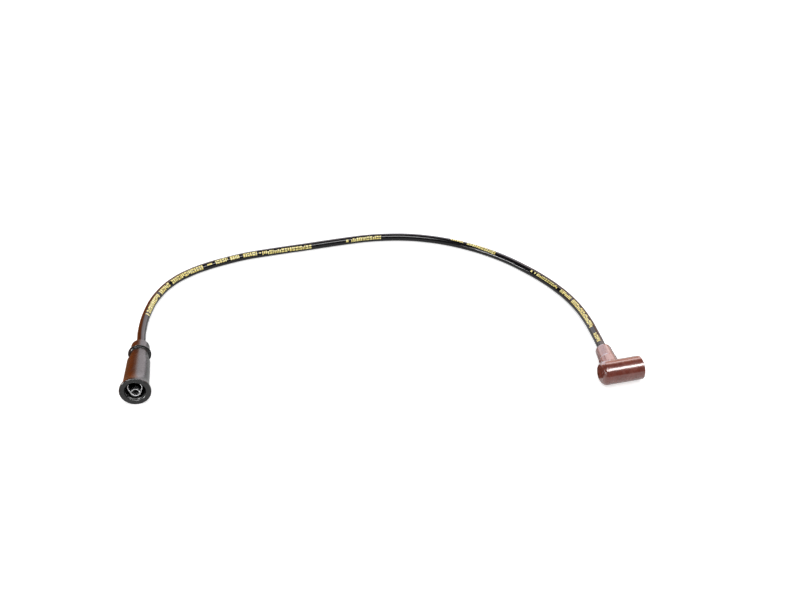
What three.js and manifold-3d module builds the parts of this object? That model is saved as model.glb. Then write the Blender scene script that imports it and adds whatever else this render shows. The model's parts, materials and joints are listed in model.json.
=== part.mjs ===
// An ignition lead for a car engine, laid out on a flat surface as it comes to rest.
//
// One resistive high-tension cable joins two moulded rubber boots. The straight black boot slips
// over a coil or distributor tower, and its terminal plugs into the tower. The brown elbow boot slips
// over a spark plug, and its terminal snaps onto the nut of the plug. Both terminals are stamped from
// sheet and crimped round the cable, with the conductor folded back under the crimp.
//
// Millimetres, +Z up, Z = 0 is the surface. The origin is under the middle of the box round both
// boots, and +X runs from the tower boot to the plug boot.

import * as THREE from 'three';
import { mergeVertices } from 'three/addons/utils/BufferGeometryUtils.js';
import Module from 'manifold-3d';

const wasm = await Module();
wasm.setup();

// Fits
const SEAT_GAP = 0.3;                // left between pieces that touch
const SHEET = 0.4;                   // thickness of the terminals' sheet metal
const CUT_PAST = 1;                  // how far a cut runs past the face that it opens

// Cable
const CABLE_RADIUS = 3.5;            // a 7 mm ignition cable
const CABLE_LIFT = 0.05;             // under the cable where it lies on the surface
const CABLE_SIDES = 12;
const CABLE_STEPS = 64;
const CABLE_STRAIGHT = 6;            // straight run outside each boot
const STRAND_WIDTH = 2.0;            // conductor, pressed flat where it is folded back
const STRAND_THICKNESS = 0.5;
const STRAND_LOOP = 1.7;             // how far the fold stands out of the cut end
const STRAND_LENGTH = 6.4;           // folded back along the cable

// Crimp, the same at both ends
const CRIMP_START = 0.6;             // from the cut end of the cable
const CRIMP_WING = 2.9;              // length of one pair of wings
const CRIMP_SLOT = 1.1;              // between the two pairs
const CRIMP_SEAM = 0.7;              // open seam where the wings meet
const CRIMP_FLOOR_ANGLE = 110;       // degrees of floor that is left between the pairs

// Tower boot, straight. Lengths are from the plane of the mouth towards the cable.
const TOWER_LENGTH = 61;
const TOWER_FLANGE_RADIUS = 12.1;
const TOWER_FLANGE_THICKNESS = 2.2;
const TOWER_FLANGE_ROUND = 0.7;
const TOWER_SHOULDER = 0.3;          // small step between the flange and the flare
const TOWER_FLARE_LENGTH = 14;       // from the flange to the barrel
const TOWER_FLARE_BEND = 0.33;       // share of that length where the flare turns
const TOWER_FRONT_RADIUS = 9.8;      // front of the barrel
const TOWER_WAIST_RADIUS = 9.0;      // narrow end of the front barrel
const TOWER_STEP_AT = 38.4;
const TOWER_STEP_LENGTH = 1.8;
const TOWER_STEP_ROUND = 0.5;
const TOWER_REAR_RADIUS = 7.3;
const TOWER_COLLAR_AT = 49.3;
const TOWER_COLLAR_RADIUS = 9.1;
const TOWER_COLLAR_THICKNESS = 1.5;
const TOWER_COLLAR_ROUND = 0.3;
const TOWER_NECK_RADIUS = 7.4;
const TOWER_NECK_ROUND = 1.8;
const TOWER_MOUTH_RADIUS = 8.1;
const TOWER_LIP_ROUND = 0.9;
const TOWER_LIP_LAND = 0.3;          // straight stretch behind the round lip
const TOWER_LEAD_IN = 2.9;           // length of the taper behind it
const TOWER_BORE_RADIUS = 7.3;
const TOWER_BORE_DEPTH = 22;
const TOWER_BORE_ROUND = 0.8;
const TOWER_RIB_HEIGHT = 0.4;
const TOWER_RIB_LENGTH = 1.6;
const TOWER_RIB_PITCH = 5;
const TOWER_RIB_COUNT = 2;
const TOWER_RIB_AT = 9;

// Tower terminal and its spring
const TOWER_CABLE_END = 33;          // cut end of the cable, from the mouth
const TOWER_PIN_START = 1.8;
const TOWER_PIN_LENGTH = 11.5;
const TOWER_PIN_RADIUS = 3.15;       // outside of the rolled pin
const TOWER_PIN_SLOT = 0.9;          // slot along its left side
const TOWER_PIN_SLOT_ANGLE = 175;    // degrees from the right, seen from the mouth
const CHANNEL_WIDTH = 3.4;           // web between pin and crimp
const CHANNEL_BEND = 0.9;
const CHANNEL_HEIGHT = 1.5;
const SPRING_START = 2.3;
const SPRING_LENGTH = 6;
const SPRING_HUG_ANGLE = 62;         // degrees round the pin, to each side of its underside
const SPRING_SPREAD = 5.35;          // half the widest spread of its arms
const SPRING_SPREAD_HEIGHT = 2.4;    // height of the widest spread over the boot's axis
const SPRING_TIP_SPREAD = 4.3;
const SPRING_TIP_HEIGHT = 5.2;
const SPRING_ARM_ANGLE = 26;         // degrees of an arm's arc below its widest spread

// Plug boot, an elbow. Lengths are from the point where its two axes cross.
const ELBOW_ANGLE = 82;              // degrees from the socket to the neck, as the cable pulls it
const PLUG_RADIUS = 9.4;
const PLUG_MOUTH_AT = 23;
const PLUG_BACK_AT = 10.7;
const PLUG_BACK_ROUND = 4;
const PLUG_MOUTH_ROUND = 0.8;
const PLUG_BORE_RADIUS = 5.6;
const PLUG_BORE_BACK = 8;            // blind end of the bore, behind the crossing
const PLUG_BORE_ROUND = 1.5;
const PLUG_LEAD_IN = 1.0;
const PLUG_RIB_HEIGHT = 0.4;
const PLUG_RIB_LENGTH = 1.6;
const PLUG_RIB_PITCH = 4;
const PLUG_RIB_COUNT = 3;
const PLUG_RIB_AT = 11;
const NECK_LENGTH = 28.7;
const NECK_BASE_RADIUS = 7.3;
const NECK_STEP_AT = 14.4;
const NECK_STEP = 0.35;              // share of the neck's narrowing that the step takes
const NECK_STEP_LENGTH = 0.35;
const NECK_STEP_ROUND = 0.3;
const NECK_END_RADIUS = 6.3;
const NECK_END_ROUND = 2;

// Plug terminal and its snap clip
const PLUG_CABLE_END = 7.6;          // cut end of the cable, along the neck
const SOCKET_BORE_RADIUS = 3.3;      // for a 6.35 mm plug nut
const SOCKET_BACK = 2.5;
const SOCKET_FRONT = 7.5;
const SOCKET_SEAM = 0.8;
const STRIP_WIDTH = 3;
const STRIP_LAP = 1.5;               // how far the strip runs along the socket behind the crossing
const STRIP_BEND = 1.2;
const CLIP_WIRE_RADIUS = 0.4;
const CLIP_AT = 3;                   // plane of the clip, from the crossing
const CLIP_GRIP = 3.1;               // half the distance between the wire's two straight grips
const CLIP_OPENING = 1.2;            // half the opening between the wire's ends

// Where the boots lie
const TOWER_MOUTH_X = -188.2;
const TOWER_MOUTH_Y = -29.8;
const TOWER_YAW = 7.3;               // degrees
const PLUG_X = 179.3;
const PLUG_Y = -2.8;
const PLUG_YAW = 14.2;               // degrees

// The cable's route over the surface, from boot to boot, at the middle of the cable
const CABLE_ROUTE = [
  [-199.1, 52.2, 7.0], [-200.1, 82.1, 5.0], [-195.9, 109.0, 3.8], [-186.3, 129.4],
  [-173.3, 143.7], [-158.6, 154.4], [-142.7, 163.1], [-125.8, 170.7], [-108.0, 176.2],
  [-89.8, 181.4], [-71.5, 186.3], [-53.0, 191.6], [-34.3, 196.6], [-15.3, 201.0],
  [3.9, 203.1], [23.1, 203.1], [42.2, 200.3], [60.9, 195.0], [78.9, 187.3],
  [96.2, 177.5], [112.4, 165.6], [127.5, 151.2], [141.4, 135.5], [153.8, 118.1],
  [163.9, 97.3, 4.3], [170.6, 71.9, 6.4], [174.2, 45.4, 8.5],
];

// Facets
const ROUND_SIDES = 36;              // round the boots
const SHEET_ARC_STEPS = 9;           // half the steps of one bent sheet arc
const FILLET_STEPS = 3;
const FLARE_STEPS = 6;
const SPRING_STEPS = 40;
const STRAND_STEPS = 20;
const WIRE_SIDES = 8;
const WIRE_STEPS = 32;
const WELD = 1e-4;                   // corners closer than this are one

const DEGREE = Math.PI / 180;
const CLEAR_CABLE = CABLE_RADIUS + SEAT_GAP;

// A manifold solid from a three.js geometry, with shared corners welded.
function solidOf(geometry) {
  const bare = geometry.clone();
  bare.deleteAttribute('normal');
  bare.deleteAttribute('uv');
  const welded = mergeVertices(bare, WELD);
  const corners = welded.index.array;
  const kept = [];
  for (let i = 0; i < corners.length; i += 3) {
    const [a, b, c] = corners.slice(i, i + 3);
    if (a !== b && b !== c && c !== a) kept.push(a, b, c);
  }
  return new wasm.Manifold(new wasm.Mesh({
    numProp: 3,
    vertProperties: new Float32Array(welded.attributes.position.array),
    triVerts: new Uint32Array(kept),
  }));
}

// A three.js geometry from a manifold solid.
function geometryOf(solid) {
  const mesh = solid.getMesh();
  const geometry = new THREE.BufferGeometry();
  geometry.setAttribute('position', new THREE.BufferAttribute(new Float32Array(mesh.vertProperties), 3));
  geometry.setIndex(new THREE.BufferAttribute(new Uint32Array(mesh.triVerts), 1));
  geometry.computeVertexNormals();
  return geometry;
}

// The points of a closed outline. Each corner is [x, y] or [x, y, fillet radius].
function outline(corners) {
  const points = [];
  corners.forEach(([x, y, fillet = 0], index) => {
    const corner = new THREE.Vector2(x, y);
    if (fillet === 0) {
      points.push(corner);
      return;
    }
    const [beforeX, beforeY] = corners.at(index - 1);
    const [afterX, afterY] = corners[(index + 1) % corners.length];
    const back = new THREE.Vector2(beforeX, beforeY).sub(corner).normalize();
    const ahead = new THREE.Vector2(afterX, afterY).sub(corner).normalize();
    const half = Math.acos(back.dot(ahead)) / 2;
    const centre = back.clone().add(ahead).normalize().multiplyScalar(fillet / Math.sin(half)).add(corner);
    const reach = fillet / Math.tan(half);
    const first = back.clone().multiplyScalar(reach).add(corner).sub(centre);
    const turn = Math.sign(back.cross(ahead)) * (Math.PI - 2 * half) * -1;
    for (let step = 0; step <= FILLET_STEPS; step += 1) {
      const arm = first.clone().rotateAround(new THREE.Vector2(), turn * step / FILLET_STEPS);
      points.push(arm.add(centre));
    }
  });
  return points;
}

// A solid of revolution about Y. The outline gives radius and height.
function revolve(points) {
  const profile = THREE.ShapeUtils.isClockWise(points) ? [...points].reverse() : [...points];
  profile.push(profile[0].clone());
  return solidOf(new THREE.LatheGeometry(profile, ROUND_SIDES));
}

// A sheet section drawn in X and Z, swept along Y from one station to another.
function sweepAlongY(shape, from, to) {
  const geometry = new THREE.ExtrudeGeometry(shape, {
    depth: to - from,
    bevelEnabled: false,
    curveSegments: SHEET_ARC_STEPS,
  });
  geometry.rotateX(Math.PI / 2);
  geometry.translate(0, to, 0);
  return solidOf(geometry);
}

// The section of a rolled sheet ring, open by a seam that faces the given angle.
function openRing(inner, outer, seamAngle, seamWidth, centreY = 0) {
  const half = seamWidth / (inner + outer);
  const ring = new THREE.Shape();
  ring.absarc(0, centreY, outer, seamAngle + half, seamAngle - half + 2 * Math.PI, false);
  ring.absarc(0, centreY, inner, seamAngle - half + 2 * Math.PI, seamAngle + half, true);
  ring.closePath();
  return ring;
}

function box(minimum, maximum) {
  const low = new THREE.Vector3(...minimum);
  const size = new THREE.Vector3(...maximum).sub(low);
  const geometry = new THREE.BoxGeometry(size.x, size.y, size.z);
  geometry.translate(low.x + size.x / 2, low.y + size.y / 2, low.z + size.z / 2);
  return solidOf(geometry);
}

// Inner sealing ribs of a bore, as outline corners. The stations grow along the list.
function ribCorners(radius, firstAt, pitch, count, length, height) {
  const corners = [];
  for (let rib = 0; rib < count; rib += 1) {
    const middle = firstAt + rib * pitch;
    corners.push([radius, middle - length / 2]);
    corners.push([radius - height, middle]);
    corners.push([radius, middle + length / 2]);
  }
  return corners;
}

// Crimp and conductor, in the cable's own frame: Y runs along the cable from its cut end, which is at
// Y = 0, and the floor of the crimp is at -Z. The crimp holds the cable at the top and the folded
// conductor at the bottom, so its centre lies a little under the cable's.
const CRIMP_TOP = CLEAR_CABLE;
const CRIMP_BOTTOM = CLEAR_CABLE + STRAND_THICKNESS + SEAT_GAP;
const CRIMP_INNER_RADIUS = (CRIMP_TOP + CRIMP_BOTTOM) / 2;
const CRIMP_OUTER_RADIUS = CRIMP_INNER_RADIUS + SHEET;
const CRIMP_CENTRE = -(CRIMP_BOTTOM - CRIMP_TOP) / 2;
const CRIMP_END = CRIMP_START + 2 * CRIMP_WING + CRIMP_SLOT;
const FLOOR_OUTSIDE = CRIMP_BOTTOM + SHEET;
const CHAMBER_RADIUS = Math.hypot(FLOOR_OUTSIDE, STRIP_WIDTH / 2) + SEAT_GAP;
const CHAMBER_TAPER = CHAMBER_RADIUS - CLEAR_CABLE;

function crimp() {
  const wings = openRing(CRIMP_INNER_RADIUS, CRIMP_OUTER_RADIUS, Math.PI / 2, CRIMP_SEAM, CRIMP_CENTRE);
  const gapAngle = (360 - CRIMP_FLOOR_ANGLE) * DEGREE;
  const middleRadius = (CRIMP_INNER_RADIUS + CRIMP_OUTER_RADIUS) / 2;
  const floor = openRing(CRIMP_INNER_RADIUS, CRIMP_OUTER_RADIUS, Math.PI / 2,
    gapAngle * middleRadius, CRIMP_CENTRE);
  const front = sweepAlongY(wings, CRIMP_START, CRIMP_START + CRIMP_WING);
  const rear = sweepAlongY(wings, CRIMP_END - CRIMP_WING, CRIMP_END);
  const middle = sweepAlongY(floor, CRIMP_START + CRIMP_WING / 2, CRIMP_END - CRIMP_WING / 2);
  return front.add(rear).add(middle);
}

// The conductor leaves the middle of the cut end, folds down in half an ellipse and runs back under
// the cable.
function foldedStrand() {
  const depth = CLEAR_CABLE + STRAND_THICKNESS / 2;
  const loop = STRAND_LOOP - SEAT_GAP;
  const turns = 6;
  const points = [];
  for (let turn = 0; turn <= turns; turn += 1) {
    const angle = Math.PI * turn / turns;
    points.push(new THREE.Vector3(0, -SEAT_GAP - loop * Math.sin(angle), depth * (Math.cos(angle) - 1) / 2));
  }
  points.push(new THREE.Vector3(0, STRAND_LENGTH / 2, -depth));
  points.push(new THREE.Vector3(0, STRAND_LENGTH, -depth));
  const path = new THREE.CatmullRomCurve3(points);
  const bevel = STRAND_THICKNESS / 4;
  const section = new THREE.Shape();
  section.moveTo(bevel - STRAND_WIDTH / 2, -STRAND_THICKNESS / 2);
  section.lineTo(STRAND_WIDTH / 2 - bevel, -STRAND_THICKNESS / 2);
  section.lineTo(STRAND_WIDTH / 2, 0);
  section.lineTo(STRAND_WIDTH / 2 - bevel, STRAND_THICKNESS / 2);
  section.lineTo(bevel - STRAND_WIDTH / 2, STRAND_THICKNESS / 2);
  section.lineTo(-STRAND_WIDTH / 2, 0);
  section.closePath();
  return solidOf(new THREE.ExtrudeGeometry(section, {
    steps: STRAND_STEPS,
    bevelEnabled: false,
    extrudePath: path,
  }));
}

// Tower boot: one revolved rubber moulding, with the bore through it. Y runs from the mouth to the
// cable.
const TOWER_FLARE_START = TOWER_FLANGE_THICKNESS + TOWER_SHOULDER;
const TOWER_COLLAR_END = TOWER_COLLAR_AT + TOWER_COLLAR_THICKNESS;

function towerBootGeometry() {
  const flare = new THREE.QuadraticBezierCurve(
    new THREE.Vector2(TOWER_FLANGE_RADIUS - TOWER_SHOULDER, TOWER_FLARE_START),
    new THREE.Vector2(TOWER_FRONT_RADIUS, TOWER_FLARE_START + TOWER_FLARE_BEND * TOWER_FLARE_LENGTH),
    new THREE.Vector2(TOWER_FRONT_RADIUS, TOWER_FLARE_START + TOWER_FLARE_LENGTH),
  ).getPoints(FLARE_STEPS).map((point) => [point.x, point.y]);
  const chamberEnd = TOWER_CABLE_END + CRIMP_END + SEAT_GAP;
  const ribs = ribCorners(TOWER_BORE_RADIUS, TOWER_RIB_AT, TOWER_RIB_PITCH, TOWER_RIB_COUNT,
    TOWER_RIB_LENGTH, TOWER_RIB_HEIGHT);
  const corners = [
    [TOWER_FLANGE_RADIUS, 0, TOWER_FLANGE_ROUND],
    [TOWER_FLANGE_RADIUS, TOWER_FLANGE_THICKNESS],
    ...flare,
    [TOWER_WAIST_RADIUS, TOWER_STEP_AT, TOWER_STEP_ROUND],
    [TOWER_REAR_RADIUS, TOWER_STEP_AT + TOWER_STEP_LENGTH, TOWER_STEP_ROUND],
    [TOWER_REAR_RADIUS, TOWER_COLLAR_AT],
    [TOWER_COLLAR_RADIUS, TOWER_COLLAR_AT, TOWER_COLLAR_ROUND],
    [TOWER_COLLAR_RADIUS, TOWER_COLLAR_END, TOWER_COLLAR_ROUND],
    [TOWER_NECK_RADIUS, TOWER_COLLAR_END],
    [TOWER_NECK_RADIUS, TOWER_LENGTH, TOWER_NECK_ROUND],
    [CLEAR_CABLE, TOWER_LENGTH],
    [CLEAR_CABLE, chamberEnd + CHAMBER_TAPER],
    [CHAMBER_RADIUS, chamberEnd],
    [CHAMBER_RADIUS, TOWER_BORE_DEPTH],
    [TOWER_BORE_RADIUS, TOWER_BORE_DEPTH, TOWER_BORE_ROUND],
    ...ribs.reverse(),
    [TOWER_BORE_RADIUS, TOWER_LIP_ROUND + TOWER_LIP_LAND + TOWER_LEAD_IN],
    [TOWER_MOUTH_RADIUS, TOWER_LIP_ROUND + TOWER_LIP_LAND],
    [TOWER_MOUTH_RADIUS, 0, TOWER_LIP_ROUND],
  ];
  return geometryOf(revolve(outline(corners)));
}

// Tower terminal: a rolled pin, a channel and the crimp, stamped from one sheet. Their floors are in
// line, which puts the pin a little under the boot's axis.
const PIN_CENTRE = -(FLOOR_OUTSIDE - TOWER_PIN_RADIUS);

function towerTerminalGeometry() {
  const pinEnd = TOWER_PIN_START + TOWER_PIN_LENGTH;
  const pinShape = openRing(TOWER_PIN_RADIUS - SHEET, TOWER_PIN_RADIUS, TOWER_PIN_SLOT_ANGLE * DEGREE,
    TOWER_PIN_SLOT, PIN_CENTRE);
  const channelShape = new THREE.Shape(outline([
    [-CHANNEL_WIDTH / 2, -FLOOR_OUTSIDE, CHANNEL_BEND],
    [CHANNEL_WIDTH / 2, -FLOOR_OUTSIDE, CHANNEL_BEND],
    [CHANNEL_WIDTH / 2, CHANNEL_HEIGHT - FLOOR_OUTSIDE],
    [CHANNEL_WIDTH / 2 - SHEET, CHANNEL_HEIGHT - FLOOR_OUTSIDE],
    [CHANNEL_WIDTH / 2 - SHEET, SHEET - FLOOR_OUTSIDE, CHANNEL_BEND - SHEET],
    [SHEET - CHANNEL_WIDTH / 2, SHEET - FLOOR_OUTSIDE, CHANNEL_BEND - SHEET],
    [SHEET - CHANNEL_WIDTH / 2, CHANNEL_HEIGHT - FLOOR_OUTSIDE],
    [-CHANNEL_WIDTH / 2, CHANNEL_HEIGHT - FLOOR_OUTSIDE],
  ]));
  const crimpAt = TOWER_CABLE_END + CRIMP_START;
  return geometryOf(sweepAlongY(pinShape, TOWER_PIN_START, pinEnd)
    .add(sweepAlongY(channelShape, pinEnd - SHEET, crimpAt + SHEET))
    .add(crimp().translate([0, TOWER_CABLE_END, 0])));
}

// Tower spring: a bent strip that hugs the pin from below, with two arms that bow out and in again to
// grip the wall of the tower. Each arm is an arc through its widest spread and its tip.
function towerSpringGeometry() {
  const hug = TOWER_PIN_RADIUS + SEAT_GAP + SHEET / 2;
  const inward = SPRING_SPREAD - SPRING_TIP_SPREAD;
  const upward = SPRING_TIP_HEIGHT - SPRING_SPREAD_HEIGHT;
  const armRadius = (inward ** 2 + upward ** 2) / (2 * inward);
  const armLow = -SPRING_ARM_ANGLE * DEGREE;
  const armHigh = Math.asin(upward / armRadius);
  const pieces = 3;
  const right = [];
  for (let step = 1; step <= pieces; step += 1) {
    const angle = SPRING_HUG_ANGLE * DEGREE * step / pieces;
    right.push(new THREE.Vector2(hug * Math.sin(angle), PIN_CENTRE - hug * Math.cos(angle)));
  }
  for (let step = 0; step <= pieces; step += 1) {
    const angle = armLow + (armHigh - armLow) * step / pieces;
    right.push(new THREE.Vector2(SPRING_SPREAD + armRadius * (Math.cos(angle) - 1),
      SPRING_SPREAD_HEIGHT + armRadius * Math.sin(angle)));
  }
  const left = right.map((point) => new THREE.Vector2(-point.x, point.y)).reverse();
  const middle = new THREE.SplineCurve([...left, new THREE.Vector2(0, PIN_CENTRE - hug), ...right]);
  const inside = [];
  const outside = [];
  for (let step = 0; step <= SPRING_STEPS; step += 1) {
    const point = middle.getPoint(step / SPRING_STEPS);
    const tangent = middle.getTangent(step / SPRING_STEPS);
    const normal = new THREE.Vector2(-tangent.y, tangent.x).multiplyScalar(SHEET / 2);
    inside.push(point.clone().add(normal));
    outside.push(point.clone().sub(normal));
  }
  const strip = new THREE.Shape([...outside, ...inside.reverse()]);
  return geometryOf(sweepAlongY(strip, SPRING_START, SPRING_START + SPRING_LENGTH));
}

// Plug boot: the socket along X and the neck along the elbow's other axis, moulded as one.
function alongSocket(solid) {
  return solid.rotate([0, 0, -90]);
}

function alongNeck(solid) {
  return solid.rotate([0, 0, ELBOW_ANGLE - 90]);
}

function plugBootGeometry() {
  const socket = alongSocket(revolve(outline([
    [0, -PLUG_BACK_AT],
    [PLUG_RADIUS, -PLUG_BACK_AT, PLUG_BACK_ROUND],
    [PLUG_RADIUS, PLUG_MOUTH_AT, PLUG_MOUTH_ROUND],
    [0, PLUG_MOUTH_AT],
  ])));
  const steppedRadius = NECK_BASE_RADIUS - NECK_STEP * (NECK_BASE_RADIUS - NECK_END_RADIUS);
  const neck = alongNeck(revolve(outline([
    [0, 0],
    [NECK_BASE_RADIUS, 0],
    [NECK_BASE_RADIUS, NECK_STEP_AT, NECK_STEP_ROUND],
    [steppedRadius, NECK_STEP_AT + NECK_STEP_LENGTH],
    [NECK_END_RADIUS, NECK_LENGTH, NECK_END_ROUND],
    [0, NECK_LENGTH],
  ])));
  const ribs = ribCorners(PLUG_BORE_RADIUS, PLUG_RIB_AT, PLUG_RIB_PITCH, PLUG_RIB_COUNT,
    PLUG_RIB_LENGTH, PLUG_RIB_HEIGHT);
  const bore = alongSocket(revolve(outline([
    [0, -PLUG_BORE_BACK],
    [PLUG_BORE_RADIUS, -PLUG_BORE_BACK, PLUG_BORE_ROUND],
    ...ribs,
    [PLUG_BORE_RADIUS, PLUG_MOUTH_AT - PLUG_LEAD_IN],
    [PLUG_BORE_RADIUS + PLUG_LEAD_IN, PLUG_MOUTH_AT],
    [PLUG_BORE_RADIUS + PLUG_LEAD_IN, PLUG_MOUTH_AT + CUT_PAST],
    [0, PLUG_MOUTH_AT + CUT_PAST],
  ])));
  const chamberEnd = PLUG_CABLE_END + CRIMP_END + SEAT_GAP;
  const cableBore = alongNeck(revolve(outline([
    [0, 0],
    [CHAMBER_RADIUS, 0],
    [CHAMBER_RADIUS, chamberEnd],
    [CLEAR_CABLE, chamberEnd + CHAMBER_TAPER],
    [CLEAR_CABLE, NECK_LENGTH + CUT_PAST],
    [0, NECK_LENGTH + CUT_PAST],
  ])));
  return geometryOf(socket.add(neck).subtract(bore).subtract(cableBore));
}

// Plug terminal: a rolled socket with a window on each side for the clip, a bent strip and the crimp.
const SOCKET_OUTER_RADIUS = SOCKET_BORE_RADIUS + SHEET;

function plugTerminalGeometry() {
  const rolled = sweepAlongY(openRing(SOCKET_BORE_RADIUS, SOCKET_OUTER_RADIUS, Math.PI, SOCKET_SEAM),
    -SOCKET_BACK, SOCKET_FRONT);
  const reach = CLIP_GRIP - CLIP_WIRE_RADIUS - SEAT_GAP;
  const windowHalf = Math.sqrt(SOCKET_OUTER_RADIUS ** 2 - reach ** 2);
  const slotHalf = CLIP_WIRE_RADIUS + SEAT_GAP;
  const windows = box([-windowHalf, CLIP_AT - slotHalf, -2 * SOCKET_OUTER_RADIUS],
    [windowHalf, CLIP_AT + slotHalf, 2 * SOCKET_OUTER_RADIUS]);
  const socket = alongSocket(rolled.subtract(windows));

  const cosine = Math.cos(ELBOW_ANGLE * DEGREE);
  const sine = Math.sin(ELBOW_ANGLE * DEGREE);
  const onFloor = (depth, along) => [-depth * sine + along * cosine, depth * cosine + along * sine];
  const bendPoint = (depth, y) => onFloor(depth, (y - depth * cosine) / sine);
  const crimpAt = PLUG_CABLE_END + CRIMP_START + SHEET;
  const strip = new THREE.Shape(outline([
    [-STRIP_LAP, -SOCKET_OUTER_RADIUS],
    [-STRIP_LAP, -SOCKET_BORE_RADIUS],
    [...bendPoint(FLOOR_OUTSIDE - SHEET, -SOCKET_BORE_RADIUS), STRIP_BEND - SHEET / 2],
    onFloor(FLOOR_OUTSIDE - SHEET, crimpAt),
    onFloor(FLOOR_OUTSIDE, crimpAt),
    [...bendPoint(FLOOR_OUTSIDE, -SOCKET_OUTER_RADIUS), STRIP_BEND + SHEET / 2],
  ]));
  const stripGeometry = new THREE.ExtrudeGeometry(strip, { depth: STRIP_WIDTH, bevelEnabled: false });
  stripGeometry.translate(0, 0, -STRIP_WIDTH / 2);

  const neckCrimp = alongNeck(crimp().rotate([0, 90, 0]).translate([0, PLUG_CABLE_END, 0]));
  return geometryOf(socket.add(solidOf(stripGeometry)).add(neckCrimp));
}

// Plug clip: a spring wire round the socket. Its two straight grips pass through the windows and snap
// behind the nut of the plug.
function plugClipGeometry() {
  const round = SOCKET_OUTER_RADIUS + SEAT_GAP + CLIP_WIRE_RADIUS;
  const gripEnd = Math.acos(CLIP_GRIP / round);
  const tipAngle = Math.acos(CLIP_OPENING / round);
  const points = [];
  const addArc = (from, to, count) => {
    for (let step = 0; step <= count; step += 1) {
      const angle = from + (to - from) * step / count;
      points.push(new THREE.Vector3(CLIP_AT, round * Math.sin(angle), round * Math.cos(angle)));
    }
  };
  addArc(tipAngle, gripEnd, 2);
  addArc(-gripEnd, gripEnd - Math.PI, 7);
  addArc(Math.PI - gripEnd, Math.PI - tipAngle, 2);
  const wire = new THREE.CurvePath();
  for (let index = 1; index < points.length; index += 1) {
    wire.add(new THREE.LineCurve3(points[index - 1], points[index]));
  }
  const bend = new THREE.CatmullRomCurve3(wire.getSpacedPoints(WIRE_STEPS));
  const section = new THREE.Shape();
  section.absarc(0, 0, CLIP_WIRE_RADIUS, 0, 2 * Math.PI, false);
  return geometryOf(solidOf(new THREE.ExtrudeGeometry(section, {
    steps: WIRE_STEPS,
    curveSegments: WIRE_SIDES / 2,
    bevelEnabled: false,
    extrudePath: bend,
  })));
}

// The tower boot rests on the rim of its flange and the rim of its collar, so its axis slopes down
// towards the cable.
const TOWER_TILT = Math.atan2(TOWER_FLANGE_RADIUS - TOWER_COLLAR_RADIUS,
  TOWER_COLLAR_END - TOWER_FLANGE_THICKNESS);
const TOWER_MOUTH_Z = TOWER_FLANGE_RADIUS * Math.cos(TOWER_TILT)
  + TOWER_FLANGE_THICKNESS * Math.sin(TOWER_TILT);

const towerEnd = new THREE.Group();
towerEnd.position.set(TOWER_MOUTH_X, TOWER_MOUTH_Y, TOWER_MOUTH_Z);
towerEnd.rotation.set(-TOWER_TILT, 0, TOWER_YAW * DEGREE, 'ZYX');

const plugEnd = new THREE.Group();
plugEnd.position.set(PLUG_X, PLUG_Y, PLUG_RADIUS);
plugEnd.rotation.set(0, 0, PLUG_YAW * DEGREE);

// The cable runs from its cut end in the tower boot to its cut end in the plug boot.
function cableGeometry() {
  const inTower = (along) => new THREE.Vector3(0, along, 0)
    .applyEuler(towerEnd.rotation).add(towerEnd.position);
  const neckAngle = (PLUG_YAW + ELBOW_ANGLE) * DEGREE;
  const inNeck = (along) => new THREE.Vector3(along * Math.cos(neckAngle), along * Math.sin(neckAngle), 0)
    .add(plugEnd.position);
  const lying = CABLE_RADIUS + CABLE_LIFT;
  const path = new THREE.CatmullRomCurve3([
    inTower(TOWER_CABLE_END),
    inTower((TOWER_CABLE_END + TOWER_LENGTH) / 2),
    inTower(TOWER_LENGTH),
    inTower(TOWER_LENGTH + CABLE_STRAIGHT),
    ...CABLE_ROUTE.map(([x, y, z = lying]) => new THREE.Vector3(x, y, z)),
    inNeck(NECK_LENGTH + CABLE_STRAIGHT),
    inNeck(NECK_LENGTH),
    inNeck((PLUG_CABLE_END + NECK_LENGTH) / 2),
    inNeck(PLUG_CABLE_END),
  ]);
  const section = new THREE.Shape();
  for (let side = 0; side < CABLE_SIDES; side += 1) {
    const angle = 2 * Math.PI * side / CABLE_SIDES;
    const corner = [CABLE_RADIUS * Math.cos(angle), CABLE_RADIUS * Math.sin(angle)];
    if (side === 0) section.moveTo(...corner);
    else section.lineTo(...corner);
  }
  section.closePath();
  return geometryOf(solidOf(new THREE.ExtrudeGeometry(section, {
    steps: CABLE_STEPS,
    bevelEnabled: false,
    extrudePath: path,
  })));
}

const blackRubber = { color: 0x17171a, roughness: 0.35, metalness: 0 };
const brownSilicone = { color: 0x6e2c22, roughness: 0.3, metalness: 0 };
const cableJacket = { color: 0x141416, roughness: 0.3, metalness: 0 };
const conductor = { color: 0x2a2a2a, roughness: 0.7, metalness: 0 };
const brass = { color: 0xc9a45a, roughness: 0.35, metalness: 1 };
const steel = { color: 0xc8c9cb, roughness: 0.25, metalness: 1 };

function piece(name, geometry, finish) {
  const mesh = new THREE.Mesh(geometry, new THREE.MeshStandardMaterial(finish));
  mesh.name = name;
  return mesh;
}

const towerStrand = piece('tower_conductor', geometryOf(foldedStrand()), conductor);
towerStrand.position.y = TOWER_CABLE_END;
towerEnd.add(
  piece('tower_boot', towerBootGeometry(), blackRubber),
  piece('tower_terminal', towerTerminalGeometry(), steel),
  piece('tower_spring', towerSpringGeometry(), steel),
  towerStrand,
);

const plugStrand = piece('plug_conductor', geometryOf(alongNeck(
  foldedStrand().rotate([0, 90, 0]).translate([0, PLUG_CABLE_END, 0]),
)), conductor);
plugEnd.add(
  piece('plug_boot', plugBootGeometry(), brownSilicone),
  piece('plug_terminal', plugTerminalGeometry(), brass),
  piece('plug_clip', plugClipGeometry(), steel),
  plugStrand,
);

const lead = new THREE.Group();
lead.add(towerEnd, plugEnd, piece('ignition_cable', cableGeometry(), cableJacket));

export default lead;
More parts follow.
